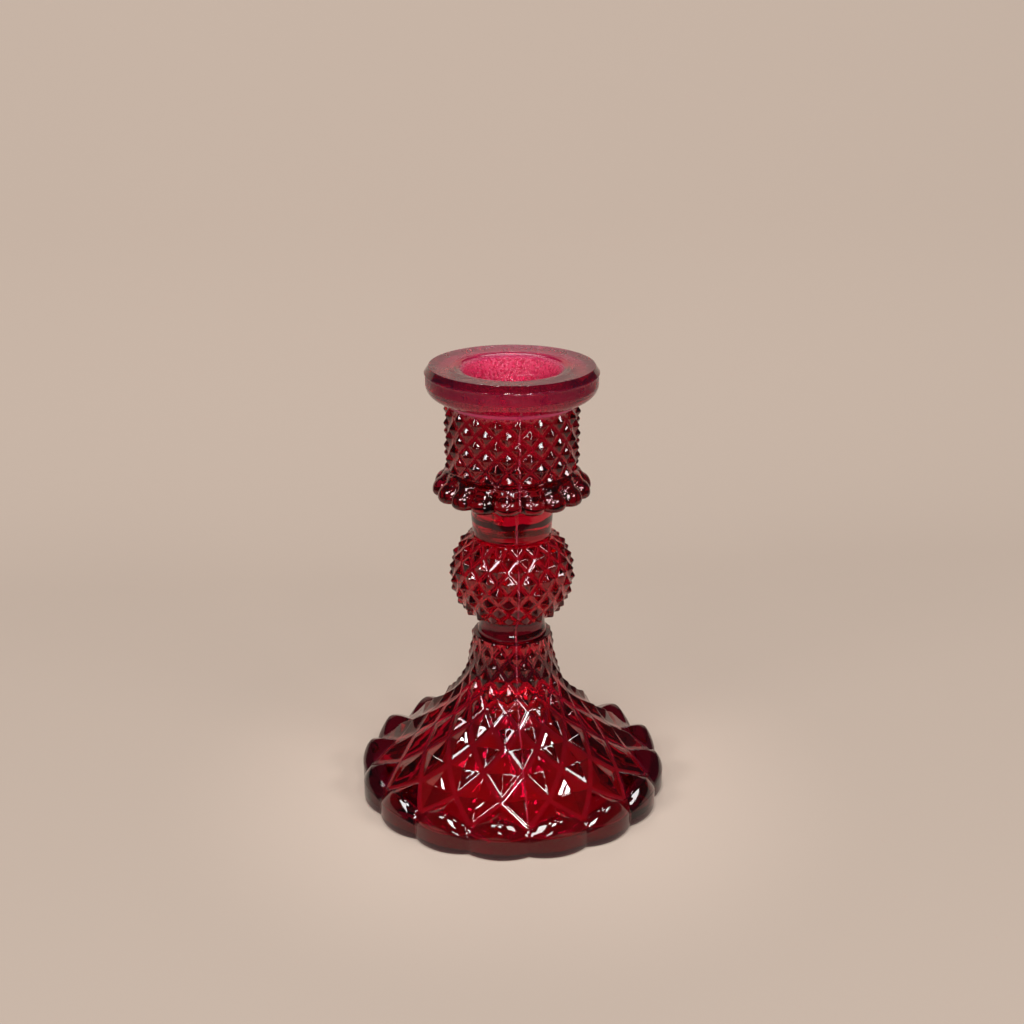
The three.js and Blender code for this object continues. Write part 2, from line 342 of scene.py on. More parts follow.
def lobeOutline(r0, z0, crown):
    # from the crest down to the table; crown is 1 in the middle of a lobe and 0 between two
    radius = foot["radius"] - foot["lobeDepth"] * (1 - crown)
    wall = foot["wallTop"] + foot["wallTopRise"] * crown
    bend = foot["crestRadius"] * (0.25 + 0.75 * crown)
    outline = [(r0 + a * bend, z0 + b * bend) for a, b in foot["crestBend"]]
    r1, z1 = outline[-1]
    for share, bow in foot["faceBow"]:
        outline.append((r1 + (radius - r1) * share + bow, z1 + (wall - z1) * share + bow))
    outline += [(radius - inset, wall + rise) for inset, rise in foot["shoulder"]]
    outline.append((radius, wall * 0.62))
    return outline + [(radius - inset, z) for inset, z in foot["standing"]]


def lobes(skin, rows):
    half = math.pi / foot["lobes"]
    patches, faces, crestLine = crestPatches(rows)
    columns = []
    for x, y, z in crestLine:
        angle = math.atan2(y, x)
        crown = 1 - np.clip(angle / half, -1, 1) ** 2
        outline = lobeOutline(math.hypot(x, y), z, crown)
        columns.append([np.array([r * math.cos(angle), r * math.sin(angle), h]) for r, h in outline])
    deep = len(columns[0])
    wallFaces = []
    for k in range(len(columns) - 1):
        for j in range(deep - 1):
            a, b = k * deep + j, (k + 1) * deep + j
            wallFaces += [(a + 1, b + 1, b), (a + 1, b, a)]
    wallPoints = np.array([p for column in columns for p in column])
    for lobe in range(foot["lobes"]):
        turn = half * (2 * lobe + 1) - math.pi / 2
        for patch in patches:
            skin.add(spin(patch, turn), faces)
        skin.add(spin(wallPoints, turn), wallFaces)


def makeFoot():
    curve = footCurve()
    rows = footRows(curve)
    skin = Skin()
    diamondNet(skin, rows, foot["lobes"], foot["net"])
    lobes(skin, rows)
    piece = skin.solid("foot")
    trim = turnedBetween("foot_trim", 0, levels["footTop"], foot["trimLow"], foot["trimHigh"])
    join(piece, trim, "INTERSECT")
    return piece, curve, rows


# Hollow under the foot

hollow = {
    "edge": 44,                            # the foot's radius, to the nearest millimetre
    "standing": 6.6,                       # width of the ring that stands on the table
    "wall": 5,
    "height": 31,
    "roof": [(0.72, 1.1), (0.3, 0.2)],     # share of the last radius, depth under the top
}


def makeHollow(curve):
    tangent = np.gradient(curve, axis=0)
    tangent /= np.hypot(*tangent.T)[:, None]
    inner = np.column_stack([curve[:, 0] - hollow["wall"] * tangent[:, 1],
                             curve[:, 1] + hollow["wall"] * tangent[:, 0]])
    inner = inner[(inner[:, 1] > 2) & (inner[:, 1] < hollow["height"] - 2.5)]
    start = hollow["edge"] - hollow["standing"]
    bent = [(start, 0.6), *inner[::24]]
    last = bent[-1][0]
    bent += [(share * last, hollow["height"] - depth) for share, depth in hollow["roof"]]
    smooth = spline(bent, 24)
    outline = [(0, -1), (start + 0.5, -1), (start + 0.5, 0), *smooth, (0, hollow["height"])]
    return turned("foot_hollow", outline)


# Necks

lowerNeck = {"radius": 9.75, "waist": 9.25, "rounding": 0.5}
upperNeck = {"radius": 10.95, "waist": 11.3, "rounding": 0.8}


def makeNeck(name, neck, base, top):
    rounding = neck["rounding"]
    inner = neck["radius"] - rounding
    outline = [(0, base - 1.5), (inner - 0.6, base - 1.5), (inner, base - 0.1)]
    outline += arc((inner, base + rounding - 0.1), (rounding, rounding), -80, 10, 7)
    outline += list(spline([(neck["radius"], base + rounding + 0.4), (neck["waist"], (base + top) / 2),
                            (neck["waist"] + 0.15, top)], 10))
    outline += [(neck["waist"] + 0.4, top + 1.2), (0, top + 1.2)]
    return turned(name, outline)


# Knop

knop = {
    "radius": 16.6,
    "rise": 15.85,
    "centre": 11.75,
    "points": 18,
    "rows": 8,
    "firstAngle": -39,
    "rowAngle": 11.94,
    "net": {"band": 1.25, "crease": 0.26, "rounding": 0.46, "hollow": 1, "relief": lambda z: 1.32},
    "trimLow": [(11.6, 0), (12.6, 0.35), (14.4, 1.6), (40, 14)],
    "trimHigh": [(40, -14), (14.2, -1.5), (12.4, -0.3), (11.4, 0)],
}


def makeKnop():
    base, top = levels["knopBase"], levels["knopTop"]
    rows = arc((0, base + knop["centre"]), (knop["radius"], knop["rise"]),
               knop["firstAngle"] - 2 * knop["rowAngle"],
               knop["firstAngle"] + (knop["rows"] + 1) * knop["rowAngle"], knop["rows"] + 4)
    skin = Skin()
    diamondNet(skin, rows, knop["points"], knop["net"])
    piece = skin.solid("knop_ball")
    join(piece, turnedBetween("knop_trim", base, top, knop["trimLow"], knop["trimHigh"]), "INTERSECT")
    return piece, rows


# Drip collar

collar = {
    "beads": 18,
    "radius": 21.85,
    "depth": 2.1,
    "bottomRise": 1.5,
    "faceHeight": 4.5,
    "fullness": 2.4,
    "steps": 16,
    "outlineSteps": 29,
}


def beadOutline(crown):
    # crown is 1 in the middle of a bead and 0 in the groove beside it
    base, top = levels["collarBase"], levels["socketBase"]
    radius = collar["radius"] - collar["depth"] * (1 - crown)
    low = base + collar["bottomRise"] + 0.5 * (1 - crown)
    high = low + collar["faceHeight"] - 1.1 * (1 - crown)
    return spline([
        (11.4, base - 0.5),
        (11.9, base + 0.1),
        (15, base + 0.45),
        (radius - 2.2, low - 0.35),
        (radius - 0.9, low),
        (radius - 0.3, low + 0.45),
        (radius, low + 1.1),
        (radius - 0.04, low + 2.0),
        (radius - 0.32, high - 1.5),
        (radius - 0.85, high - 0.6),
        (radius - 1.5, high + 0.02),
        (radius - 2.3, high + 0.5 - 0.15 * (1 - crown)),
        (18.3 + 0.3 * crown, top - 0.45 - 0.5 * (1 - crown)),
        (17.4, top - 0.1),
        (16.5, top + 0.4),
    ], collar["outlineSteps"])


def makeCollar():
    half = math.pi / collar["beads"]
    skin = Skin()
    columns = []
    for k in range(collar["steps"] + 1):
        phi = -math.cos(math.pi * k / collar["steps"])
        crown = 1 - abs(phi) ** collar["fullness"]
        columns.append([place(r, z, phi * half) for r, z in beadOutline(crown)])
    deep = len(columns[0])
    points = np.array([p for column in columns for p in column])
    faces = []
    for k in range(collar["steps"]):
        for j in range(deep - 1):
            a, b = k * deep + j, (k + 1) * deep + j
            faces += [(a, b, b + 1), (a, b + 1, a + 1)]
    for bead in range(collar["beads"]):
        skin.add(spin(points, half * (2 * bead + 1)), faces)
    return skin.solid("collar_beads")


# Candle socket

socket = {
    "radius": 17.4,
    "points": 18,
    "rows": 6,
    "firstRow": 1.0,
    "net": {"band": 1.25, "crease": 0.26, "rounding": 0.4, "hollow": 1, "relief": lambda z: 1.4},
    "trimLow": [(17.2, 0.6), (18.2, 1.1), (18.8, 2.2)],
    "trimHigh": [(18.8, -1.4), (18.3, -0.5), (17.4, 0)],
    "coreLow": [(17.6, -2), (17.1, 0.4)],
    "coreHigh": [(17.1, 2)],
}


def makeSocket():
    base, top = levels["socketBase"], levels["rimBase"]
    first = base + socket["firstRow"]
    step = (top - first) / (socket["rows"] - 0.4)
    rows = [(socket["radius"], first + step * row) for row in range(-2, socket["rows"] + 2)]
    skin = Skin()
    diamondNet(skin, rows, socket["points"], socket["net"])
    piece = skin.solid("socket_net")
    join(piece, turnedBetween("socket_trim", base, top, socket["trimLow"], socket["trimHigh"]), "INTERSECT")
    join(piece, turnedBetween("socket_core", base, top, socket["coreLow"], socket["coreHigh"]), "UNION")
    return piece, rows


# Rim with its flared mouth, and the bore

rim = {
    "radius": 23.58,
    "bevel": 1.85,
    "bevelWidth": 1.22,
    "step": 0.3,
    "wall": 3.1,
    "cove": 17.8,
    "coveHeight": 1.6,
    "mouth": 15.6,
    "dip": 0.55,
    "throat": 6.5,
    "bore": 11.2,
    "taper": 0.4,
    "boreDepth": 26,
    "steps": 216,
    "hump": {"height": 0.35, "width": 3.0, "middle": 1.2, "drop": 0.6, "reach": 1.6},
}


def makeRim():
    base, top = levels["rimBase"], levels["rimTop"]
    radius, cove, wall = rim["radius"], rim["cove"], rim["radius"] - rim["step"]
    bevel = top - rim["bevel"]
    bowlTop = bevel - rim["wall"]
    bowlHeight = bowlTop - base - rim["coveHeight"]
    outline = [(0, base - 0.6), (cove - 0.8, base - 0.6), (cove - 0.3, base)]
    outline += [(cove - 0.2, base + 0.5), (cove, base + 1.0)]
    outline += arc((cove, bowlTop), (wall - cove, bowlHeight), -86, 0, 14)
    outline += [(wall, bevel - 0.75), (wall + 0.04, bevel - 0.45), (radius - 0.08, bevel - 0.2)]
    outline += [(radius, bevel - 0.02), (radius - 0.02, bevel + 0.05)]
    for share in (0.06, 0.12, 1):
        outline.append((radius - share * rim["bevelWidth"], bevel + share * rim["bevel"]))
    outline.append((0, top))
    bowl = turned("rim_bowl", outline, rim["steps"])
    raiseHump(bowl, bevel)
    return bowl


def raiseHump(bowl, bevel):
    # the seam swells the wall a little under the bevel, in front
    hump = rim["hump"]
    for point in bowl.data.vertices:
        x, y, z = point.co / mm
        if y < -20 and bevel - 2.2 < z < bevel - 0.1:
            share = math.exp(-((x - hump["middle"]) / hump["width"]) ** 2)
            near = max(0, 1 - abs(z - bevel + hump["drop"]) / hump["reach"])
            point.co.y -= hump["height"] * share * near * mm


def makeBore():
    top = levels["rimTop"]
    floor, throat, dip = top - rim["boreDepth"], top - rim["throat"], top - rim["dip"]
    bore, mouth = rim["bore"], rim["mouth"]
    narrow = bore - rim["taper"]
    edge = rim["radius"] - rim["bevelWidth"]
    outline = [(0, floor - 0.15), (6, floor - 0.1), (narrow - 1, floor)]
    outline += arc((narrow - 0.8, floor + 0.8), (0.8, 0.8), -80, 0, 6)
    outline += [(bore - 0.1, throat - 0.8), (bore, throat - 0.1)]
    outline += arc((mouth, throat), (mouth - bore, dip - throat), 176, 92, 16)
    lip = [(mouth + 0.6, dip + 0.03), (mouth + 3, top - 0.32), (edge - 1.1, top + 0.02)]
    outline += list(spline(lip, 10))
    outline += [(rim["radius"] - 0.6, top + 2), (0, top + 2)]
    return turned("bore_and_mouth", outline)


# The mould's seam, a low fin down the front and the back

seam = {
    "step": 0.26,
    "halfWidth": 0.3,
    "wide": 1.5,                            # times the width, where the fin is high
    "inner": 7,
    "lowest": 1.2,
    "foot": 0.2,
    "rise": 0.46,
    "cove": 0.8,
    "section": [(1, 0.34), (0.55, 0.08)],   # share of the half width, depth under the fin's top
}


def seamRise(z):
    top, cove = levels["footTop"], levels["rimBase"] + 0.8
    return np.interp(z, [top - 6, top + 1, cove - 2.4, cove, cove + 2.6, cove + 3.2],
                     [seam["foot"], seam["rise"], seam["rise"], seam["cove"], seam["rise"] / 2, 0.05])


def seamSection(z, out, rise):
    # a rounded fin that wanders a little to each side
    x = 0.07 * math.sin(0.9 * z) + 0.05 * math.sin(2.3 * z + 1)
    wide = seam["halfWidth"] * (seam["wide"] if rise > 0.4 else 1)
    left = [(-wide, seam["inner"])] + [(-share * wide, out - depth) for share, depth in seam["section"]]
    right = [(-a, r) for a, r in left[::-1]]
    return [(x + a, r) for a, r in [*left, (0, out), *right]]


def makeSeam(name, body, side):
    # follows what a ray from outside meets, so it rides over the points and through the valleys
    corners, polygons = body.data.vertices, body.data.polygons
    tree = BVHTree.FromPolygons([v.co for v in corners], [tuple(f.vertices) for f in polygons])
    heights = np.arange(seam["lowest"], levels["rimTop"] - rim["bevel"] - 0.6, seam["step"])
    reach = []
    for z in heights:
        outside = Vector((0.00001, side * 0.06, z * mm))  # a hair off the edges of the net
        hit = tree.ray_cast(outside, Vector((0, -side, 0)))[0]
        reach.append(abs(hit.y) / mm)
    reach = np.array(reach)
    rows = []
    for z in heights:
        rise = seamRise(z)
        near = np.abs(heights - z) < rise
        out = np.max(reach[near] + np.sqrt(np.maximum(rise**2 - (heights[near] - z) ** 2, 0)))
        rows.append([(side * -a, side * r, z) for a, r in seamSection(z, out, rise)])
    count = len(rows[0])
    points = np.array(rows).reshape(-1, 3)
    faces = []
    for k in range(len(rows) - 1):
        for j in range(count):
            a, b = k * count + j, k * count + (j + 1) % count
            faces.append((a, a + count, b + count, b))
    faces.append(tuple(range(count)))
    faces.append(tuple(range(len(points) - 1, len(points) - count - 1, -1)))
    mesh = bpy.data.meshes.new(name)
    mesh.from_pydata((points * mm).tolist(), [], faces)
    bm = bmesh.new()
    bm.from_mesh(mesh)
    bmesh.ops.triangulate(bm, faces=bm.faces)
    bmesh.ops.recalc_face_normals(bm, faces=bm.faces)
    bm.to_mesh(mesh)
    bm.free()
    return added(name, mesh)


# One pressing: the sections are joined, then the hollow and the bore are cut

glass, grooveCurve, footNodes = makeFoot()
print("foot pressed:", len(glass.data.polygons), "faces")
knopBall, knopNodes = makeKnop()
socketWall, socketNodes = makeSocket()
sections = [
    makeNeck("lower_neck_glass", lowerNeck, levels["footTop"], levels["knopBase"]),
    knopBall,
    makeNeck("upper_neck_glass", upperNeck, levels["knopTop"], levels["collarBase"]),
    makeCollar(),
    socketWall,
    makeRim(),
]
for section in sections:
    join(glass, section, "UNION")
print("sections joined:", len(glass.data.polygons), "faces")
frontSeam, backSeam = makeSeam("front_seam", glass, -1), makeSeam("back_seam", glass, 1)
join(glass, frontSeam, "UNION")
join(glass, backSeam, "UNION")
print("seams raised:", len(glass.data.polygons), "faces")
join(glass, makeHollow(grooveCurve), "DIFFERENCE")
join(glass, makeBore(), "DIFFERENCE")
print("bore and hollow cut:", len(glass.data.polygons), "faces")


# The material reads from the mesh how far each point lies from a net's lines, and a painted shade per facet


def netPlace(rows, count, radii, heights, turns):
    # two numbers that are whole on a net's two sets of lines, and half a cell's width in mm
    rows = np.array(rows)
    steps = np.diff(rows, axis=0)
    slant = np.hypot(*(rows[2:] - rows[:-2]).T)
    across = halfWidth(rows[1:-1, 0] * math.sin(math.pi / count), slant)
    flat = np.column_stack([radii, heights])
    share = np.einsum("nsk,sk->ns", flat[:, None] - rows[:-1], steps) / np.sum(steps**2, axis=1)
    share = np.clip(share, 0, 1)
    gap = np.linalg.norm(rows[:-1] + share[..., None] * steps - flat[:, None], axis=2)
    nearest = np.argmin(gap, axis=1)
    row = nearest + share[np.arange(len(flat)), nearest]
    column = turns * count / math.pi
    return (column + row) / 2, (column - row) / 2, np.interp(row, np.arange(1, len(rows) - 1), across)


def onFoot(radii, heights):
    groove = np.interp(heights, grooveCurve[:, 1], grooveCurve[:, 0])
    return (heights > 8.4) & (heights < levels["footTop"]) & (radii < 41) & (radii > groove - 1.5)


def onKnop(radii, heights):
    return (heights > levels["knopBase"]) & (heights < levels["knopTop"]) & (radii > 11.8)


def onSocket(radii, heights):
    return (heights > levels["socketBase"] + 0.5) & (heights < levels["rimBase"] - 0.3) & (radii > 16.5)


sharpAngle = 50  # degrees between two faces, from which their edge stays sharp
nets = [
    (footNodes, foot["lobes"], onFoot),
    (knopNodes, knop["points"], onKnop),
    (socketNodes, socket["points"], onSocket),
]


def readNets(spots):
    # distance from the nets' lines in mm, and each facet's painted shade, part chance and darker for those
    # that look down
    radii, heights = np.hypot(spots[:, 0], spots[:, 1]), spots[:, 2]
    turns = np.arctan2(spots[:, 0], -spots[:, 1])
    distance, shade = np.zeros(len(spots)), np.zeros(len(spots))
    for rows, count, inside in nets:
        here = inside(radii, heights)
        one, other, across = netPlace(rows, count, radii[here], heights[here], turns[here])
        off = one - np.floor(one) - 0.5
        offOther = other - np.floor(other) - 0.5
        distance[here] = (1 - 2 * np.maximum(np.abs(off), np.abs(offOther))) * across
        first = np.abs(off) > np.abs(offOther)
        facet = np.where(first, np.sign(off), 3 * np.sign(offOther))
        low = np.where(first, off < 0, offOther > 0)
        # a chance number for each facet, the same in every run
        chance = np.sin(np.floor(one) * 12.99 + np.floor(other) * 78.23 + facet * 37.7) * 437.58
        shade[here] = 0.65 * (chance - np.floor(chance)) + 0.35 * low
    return distance, shade


points = np.array([v.co for v in glass.data.vertices]) / mm
centres = np.array([f.center for f in glass.data.polygons]) / mm
netDistance, paintedFacetShade = readNets(points)[0], readNets(centres)[1]
glass.data.attributes.new("netDistance", "FLOAT", "POINT").data.foreach_set("value", netDistance)
glass.data.attributes.new("paintedFacetShade", "FLOAT", "FACE").data.foreach_set("value", paintedFacetShade)
glass.name = "pressed_glass"
glass.data.name = "pressed_glass"
glass.data.shade_smooth()
glass.data.set_sharp_from_angle(angle=math.radians(sharpAngle))
print("nets marked on", int(np.sum(netDistance > 0)), "points")


# Ruby glass

ruby = {
    "absorption": (0.94, 0.25, 0.74, 1),
    "density": 400,
    "ior": 1.5,
    "polish": 0.03,
    "line": (0.9, 0.05, 0.14, 1),
    # facet colours, lit and in painted shade, on the foot and above it
    "facet": [(1.0, 0.045, 0.12, 1), (0.3, 0.015, 0.05, 1)],
    "upperFacet": [(0.6, 0.03, 0.08, 1), (0.08, 0.01, 0.03, 1)],
    "mouthGrain": (0.62, 0.02, 0.08, 1),
    "tints": {                             # by zone, laid over each other in this order
        # painted shade on the steep bevel under the lobes' crest
        "crest": (0.2, 0.015, 0.04, 1),
        "necks": (1.0, 0.07, 0.2, 1),
        "collar": (0.42, 0.05, 0.13, 1),
        "rim": (0.9, 0.06, 0.34, 1),
        # a grey-pink painted sheen on the satin lip
        "lip": (0.62, 0.27, 0.3, 1),
        # painted shade on the rim's bevel
        "bevel": (0.5, 0.03, 0.14, 1),
        "mouth": (1.0, 0.07, 0.2, 1),
        # a painted glow in the cove under the rim
        "cove": (1.0, 0.06, 0.3, 1),
        # painted shade on the foot's low wall, where it stands on the table
        "wall": (0.11, 0.01, 0.03, 1),
        # painted shade over the lower neck
        "lowerNeck": (0.07, 0.035, 0.05, 1),
        # painted shade: dark streaks and a dark stripe on the upper neck
        "paintedNeckShade": (0.006, 0.004, 0.004, 1),
        # a painted highlight along the seam's fin
        "seam": (1.0, 0.1, 0.2, 1),
    },
    # roughness that a zone adds to the polish, and the share of its light that doesn't pass through
    "dull": {"lip": 0.28, "mouth": 0.06, "band": 0.28, "wall": 0.08, "necks": 0.05},
    # the cove's milky share is part of its painted glow
    # the seam's milky share is part of its painted highlight
    "milky": {"mouth": 0.36, "cove": 0.5, "line": 0.025, "seam": 0.2, "lip": 0.09, "rim": 0.04},
    # where the upper neck's painted dark stripe lies and how wide it is
    "stripe": {"lift": 0.2, "reach": 1.3, "swing": 2.0, "thickness": 1.5},  # in mm
    "heights": {"wave": 0.03, "peel": 0.22, "grain": 0.8, "streak": 0.06},  # in mm
}


class Wiring:
    # short ways to place and join the nodes of one material
    def __init__(self, material):
        material.use_nodes = True
        self.tree = material.node_tree
        self.tree.nodes.clear()

    def node(self, kind, **values):
        made = self.tree.nodes.new(kind)
        for name, value in values.items():
            setattr(made, name, value)
        return made

    def feed(self, socket, value):
        # a node's output is linked, anything else is set on the socket itself
        if isinstance(value, bpy.types.NodeSocket):
            self.tree.links.new(value, socket)
        else:
            socket.default_value = value

    def feedAll(self, made, **values):
        for name, value in values.items():
            self.feed(made.inputs[name.replace("_", " ")], value)
        return made

    def math(self, how, a, b=0.0, c=0.0):
        made = self.node("ShaderNodeMath", operation=how)
        for socket, value in zip(made.inputs, (a, b, c)):
            self.feed(socket, value)
        return made.outputs[0]

    def times(self, first, *others):
        for other in others:
            first = self.math("MULTIPLY", first, other)
        return first

    def fade(self, value, start, end, low=0.0, high=1.0):
        made = self.node("ShaderNodeMapRange", interpolation_type="SMOOTHSTEP")
        self.feedAll(made, Value=value, From_Min=start, From_Max=end, To_Min=low, To_Max=high)
        return made.outputs[0]

    def above(self, value, start, ease):
        # 0 up to the start and 1 after the ease, both in mm
        return self.fade(value, start * mm, (start + ease) * mm)

    def below(self, value, start, ease):
        # 1 up to the start and 0 after the ease
        return self.fade(value, start * mm, (start + ease) * mm, 1, 0)

    def blend(self, share, a, b):
        made = self.node("ShaderNodeMix", data_type="RGBA")
        for name, item in (("Factor_Float", share), ("A_Color", a), ("B_Color", b)):
            self.feed(next(i for i in made.inputs if i.identifier == name), item)
        return next(o for o in made.outputs if o.identifier == "Result_Color")

    def noise(self, at, scale, detail=2.0, rough=0.5, stretch=None):
        if stretch:
            mapping = self.node("ShaderNodeMapping")
            self.feedAll(mapping, Vector=at, Scale=stretch)
            at = mapping.outputs[0]
        made = self.node("ShaderNodeTexNoise")
        self.feedAll(made, Vector=at, Scale=scale, Detail=detail, Roughness=rough)
        return made.outputs[0]


def findZones(w, at):
    # masks of the places where the glass differs in colour or polish, several of them for painted light and
    # shade
    axes = w.node("ShaderNodeSeparateXYZ")
    w.feed(axes.inputs[0], at)
    x, y, z = axes.outputs
    radius = w.math("SQRT", w.math("ADD", w.times(x, x), w.times(y, y)))
    away = w.node("ShaderNodeAttribute", attribute_name="netDistance").outputs["Fac"]
    footTop, collarBase, socketBase = (levels[k] for k in ("footTop", "collarBase", "socketBase"))
    rimBase, rimTop = levels["rimBase"], levels["rimTop"]
    bevel = rimTop - rim["bevel"]
    lipEnd = 22.1  # radius where the lip goes over into the bevel
    zones = {
        "crest": w.times(w.above(radius, 39.8, 1.2), w.above(z, 6, 0.8)),
        "wall": w.times(w.below(z, 6, 0.6), w.above(radius, 41.4, 0.6)),
        "necks": w.times(w.above(z, footTop, 0.3), w.below(z, collarBase, 0.5), w.below(radius, 11.6, 0.4)),
        "lowerNeck": w.times(w.above(z, footTop - 0.2, 0.3), w.below(z, levels["knopBase"], 0.6)),
        # above the foot the facets take a deeper painted shade
        "upper": w.above(z, footTop + 1, 1),
        "collar": w.times(w.above(z, collarBase, 0.5), w.below(z, socketBase, 1), w.above(radius, 12.5, 1.5)),
        "cove": w.times(w.above(z, rimBase + 0.2, 0.5), w.below(z, rimBase + 2, 1), w.above(radius, 16, 0.5)),
        "rim": w.above(z, rimBase - 0.8, 1.2),
        "band": w.times(w.above(radius, 22, 0.8), w.above(z, bevel - 4, 1), w.below(z, bevel - 0.4, 0.3)),
        "bevel": w.times(w.above(z, bevel, 0.3), w.above(radius, lipEnd, 0.3)),
        "lip": w.times(w.above(z, bevel, 0.5), w.above(radius, 15.4, 1.4), w.below(radius, lipEnd, 0.3)),
        "mouth": w.times(w.above(z, rimTop - 26, 6), w.below(radius, 12.8, 1.8)),
        "facet": w.fade(away, 0.4, 1.0),
        "line": w.times(w.fade(away, 0.02, 0.1), w.fade(away, 0.3, 0.7, 1, 0)),
    }
    zones["paintedNeckShade"] = findPaintedNeckShade(w, at, z, zones["necks"])
    zones["seam"] = findSeamHighlight(w, at, x, z, radius)
    return zones


def findPaintedNeckShade(w, at, z, necks):
    # painted shade near the middle of the upper neck: thin dark level streaks and one dark stripe of changing
    # width
    stripe = ruby["stripe"]
    middle = 0.5 * (levels["knopTop"] + levels["collarBase"]) + stripe["lift"]
    lowest = middle - stripe["swing"] / 2
    fine = w.fade(w.noise(at, 1, 3, stretch=(22, 22, 260)), 0.57, 0.66)
    fromMiddle = w.math("ABSOLUTE", w.math("SUBTRACT", z, middle * mm))
    fine = w.times(fine, w.below(fromMiddle, stripe["reach"], 0.8))
    swing = w.math("MULTIPLY_ADD", w.noise(at, 1, stretch=(90, 90, 0)), stripe["swing"] * mm, lowest * mm)
    wide = w.noise(at, 1, stretch=(160, 160, 0))
    wide = w.math("MULTIPLY_ADD", wide, stripe["thickness"] * mm, -0.1 * mm)
    away = w.math("SUBTRACT", w.math("ABSOLUTE", w.math("SUBTRACT", z, swing)), wide)
    return w.times(w.math("MAXIMUM", fine, w.below(away, 0.1, 0.35)), necks)


def findSeamHighlight(w, at, x, z, radius):
    # a painted highlight: a thin pale line on the fin, broken here and there, from the foot's net up to the
    # cove
    line = w.times(w.below(w.math("ABSOLUTE", x), 0.12, 0.18), w.above(z, 8, 1))
    line = w.times(line, w.fade(w.noise(at, 1, stretch=(0, 0, 330)), 0.35, 0.6))
    return w.times(line, w.below(z, levels["rimBase"] + 2.4, 0.4), w.above(radius, 8, 0.6))


def findTint(w, zones, grains):
    # every facet has its own painted shade, darker above the foot, and the zones are laid over that
    shade = w.node("ShaderNodeAttribute", attribute_name="paintedFacetShade").outputs["Fac"]
    facet = w.blend(zones["upper"], w.blend(shade, *ruby["facet"]), w.blend(shade, *ruby["upperFacet"]))
    tint = w.blend(zones["facet"], ruby["line"], facet)
    for zone, colour in ruby["tints"].items():
        if zone == "mouth":
            colour = w.blend(w.fade(grains, 0.45, 0.6), colour, ruby["mouthGrain"])
        tint = w.blend(zones[zone], tint, colour)
    return tint


def findHeight(w, at, zones, grains):
    # in metres: waves all over, orange peel on the lip, grains in the mouth, streaks on the necks
    heights = ruby["heights"]
    satin = w.math("ADD", zones["lip"], zones["band"])
    wave = w.times(w.noise(at, 190, 2), heights["wave"] * mm)
    peel = w.times(w.noise(at, 950, 2), satin, heights["peel"] * mm)
    grain = w.times(grains, zones["mouth"], heights["grain"] * mm)
    streak = w.times(w.noise(at, 1, 3, stretch=(60, 60, 900)), zones["necks"], heights["streak"] * mm)
    for more in (peel, grain, streak):
        wave = w.math("ADD", wave, more)
    return wave


def findRough(w, at, zones):
    rough = ruby["polish"]
    for zone, more in ruby["dull"].items():
        rough = w.math("MULTIPLY_ADD", zones[zone], more, rough)
    return w.times(rough, w.fade(w.noise(at, 260, 3), 0.3, 0.7, 0.75, 1.3))


def makeGlassMaterial():
    material = bpy.data.materials.new("ruby_glass")
    w = Wiring(material)
    at = w.node("ShaderNodeTexCoord").outputs["Object"]
    zones = findZones(w, at)
    grains = w.noise(at, 1300, 3, 0.65)
    milky = 0.0
    for zone, share in ruby["milky"].items():
        milky = w.math("MULTIPLY_ADD", zones[zone], share, milky)
    bump = w.node("ShaderNodeBump")
    w.feedAll(bump, Strength=1.0, Distance=1.0, Height=findHeight(w, at, zones, grains))
    shader = w.node("ShaderNodeBsdfPrincipled")
    w.feedAll(shader, Base_Color=findTint(w, zones, grains), Roughness=findRough(w, at, zones),
              Transmission_Weight=w.math("SUBTRACT", 1.0, milky), IOR=ruby["ior"], Normal=bump.outputs[0])
    inside = w.node("ShaderNodeVolumeAbsorption")
    w.feedAll(inside, Color=ruby["absorption"], Density=ruby["density"])
    output = w.node("ShaderNodeOutputMaterial")
    w.feedAll(output, Surface=shader.outputs["BSDF"], Volume=inside.outputs["Volume"])
    return material


glass.data.materials.clear()
glass.data.materials.append(makeGlassMaterial())
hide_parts(*everyNode)
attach(glass, "root")
print("ruby glass applied")


# Floor and backdrop, one sweep of paper

paper = {
    "colour": (0.57, 0.458, 0.38, 1),
    "glow": 0.93,
    "plain": 0.75,
    "shadow": (0.02, 0.11),                # metres from the axis, between them the shadow fades
    "reach": 0.29,
    "front": 0.135,
    "back": 0.16,
    "bend": 0.12,
    "height": 0.25,
}


def makePaper():
    # seen directly, in gloss or through glass it is mostly its plain colour, so shadows on it stay faint
    material = bpy.data.materials.new("warm_paper")
    w = Wiring(material)
    away = w.node("ShaderNodeVectorMath", operation="LENGTH")
    w.feed(away.inputs[0], w.node("ShaderNodeTexCoord").outputs["Object"])
    rays = w.node("ShaderNodeLightPath").outputs
    seen = w.math("MAXIMUM", rays["Is Camera Ray"], rays["Is Glossy Ray"])
    seen = w.math("MAXIMUM", seen, rays["Is Transmission Ray"])
    far = w.fade(away.outputs["Value"], *paper["shadow"], 0, paper["plain"])
    lit = w.feedAll(w.node("ShaderNodeBsdfDiffuse"), Color=paper["colour"])
    plain = w.feedAll(w.node("ShaderNodeEmission"), Color=paper["colour"], Strength=paper["glow"])
    mix = w.node("ShaderNodeMixShader")
    for socket, value in zip(mix.inputs, (w.times(seen, far), lit.outputs[0], plain.outputs[0])):
        w.feed(socket, value)
    w.feedAll(w.node("ShaderNodeOutputMaterial"), Surface=mix.outputs[0])
    return material


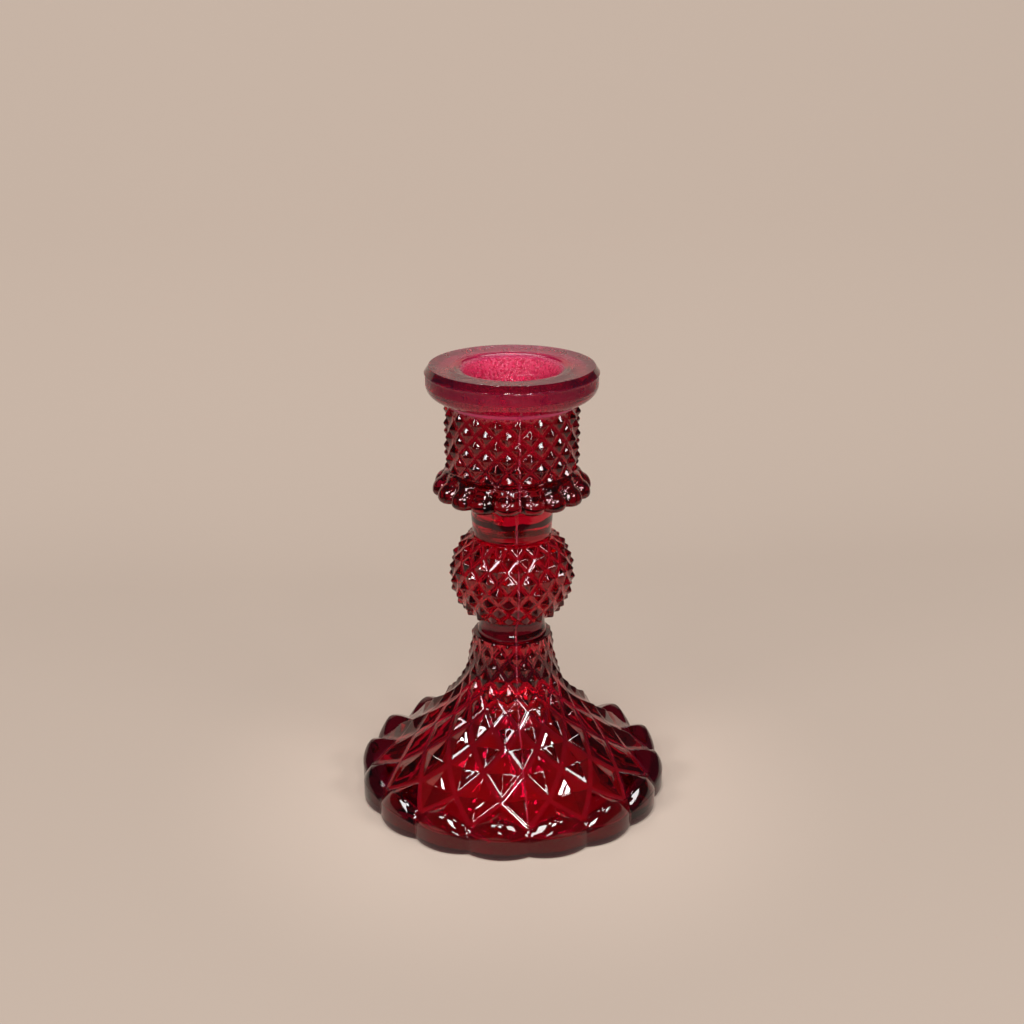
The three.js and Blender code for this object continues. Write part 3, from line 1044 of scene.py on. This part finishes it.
def makeStage():
    reach, back, bend = paper["reach"], paper["back"], paper["bend"]
    profile = [(-paper["front"], 0.0), (back, 0.0)]
    for a in np.radians(range(6, 91, 6)):
        profile.append((back + bend * math.sin(a), bend - bend * math.cos(a)))
    profile.append((back + bend, paper["height"]))
    mesh = bpy.data.meshes.new("studio_sweep")
    corners = [(x, y, z) for y, z in profile for x in (-reach, reach)]
    faces = [(2 * k, 2 * k + 1, 2 * k + 3, 2 * k + 2) for k in range(len(profile) - 1)]
    mesh.from_pydata(corners, [], faces)
    mesh.shade_smooth()
    mesh.materials.append(makePaper())
    added("studio_sweep", mesh)


makeStage()


# Lamps, a metre from the spot they aim at; each comes from a turn and a rise in degrees

lamps = [
    {"name": "top", "from": (-20, 79), "size": (0.1, 0.1), "power": 1.8},
    {"name": "front_high", "from": (-14, 60), "size": (0.1, 0.1), "power": 1.5},
    {"name": "left_middle", "from": (-30, 41), "size": (0.11, 0.11), "power": 1.4},
    {"name": "right_middle", "from": (18, 43), "size": (0.11, 0.11), "power": 1.4},
    {"name": "front_low", "from": (-5, 31), "size": (0.26, 0.13), "power": 2.7},
    {"name": "front_level", "from": (-8, 11), "size": (0.24, 0.1), "power": 1.3},
    {"name": "left_low", "from": (-49, 32), "size": (0.36, 0.17), "power": 3.8},
    {"name": "right_low", "from": (44, 31), "size": (0.4, 0.16), "power": 3.8},
    {"name": "back_high", "from": (176, 50), "size": (0.4, 0.3), "power": 1.0},
]
lampAim = Vector((0, 0, 0.06))
room = {"colour": (0.8, 0.82, 1.0, 1), "strength": 0.05}


def makeLamp(lamp):
    light = bpy.data.lights.new(lamp["name"], "AREA")
    light.shape = "RECTANGLE"
    light.size, light.size_y = lamp["size"]
    light.energy = lamp["power"]
    turn, rise = (math.radians(a) for a in lamp["from"])
    aim = Vector((-math.sin(turn) * math.cos(rise), math.cos(turn) * math.cos(rise), -math.sin(rise)))
    holder = added(lamp["name"], light)
    holder.location = lampAim - aim
    holder.rotation_mode = "QUATERNION"
    holder.rotation_quaternion = aim.to_track_quat("-Z", "Y")


def makeRoom():
    world = bpy.data.worlds.new("studio_world")
    world.use_nodes = True
    inputs = world.node_tree.nodes["Background"].inputs
    inputs["Color"].default_value = room["colour"]
    inputs["Strength"].default_value = room["strength"]
    bpy.context.scene.world = world
    bpy.context.scene.view_settings.view_transform = "Standard"


for lamp in lamps:
    makeLamp(lamp)
makeRoom()
print("stage and lamps set")


# Camera, at the photograph's place

view = {
    "distance": 0.3923,    # from the holder's axis
    "height": 0.2259,
    "tilt": 19.89,         # degrees down
    "turn": -6.3,          # degrees from the seam
    "focal": 1510.1,       # in pixels
    "frame": 1024,
    "sensor": 36,
}


def makeCamera():
    camera = bpy.data.cameras.new("photo_camera")
    camera.sensor_width = view["sensor"]
    camera.lens = view["focal"] / view["frame"] * view["sensor"]
    camera.clip_start = 0.01
    holder = added("photo_camera", camera)
    turn = math.radians(view["turn"])
    holder.location = (view["distance"] * math.sin(turn), -view["distance"] * math.cos(turn), view["height"])
    holder.rotation_euler = (math.radians(90 - view["tilt"]), 0, turn)
    bpy.context.scene.camera = holder


makeCamera()
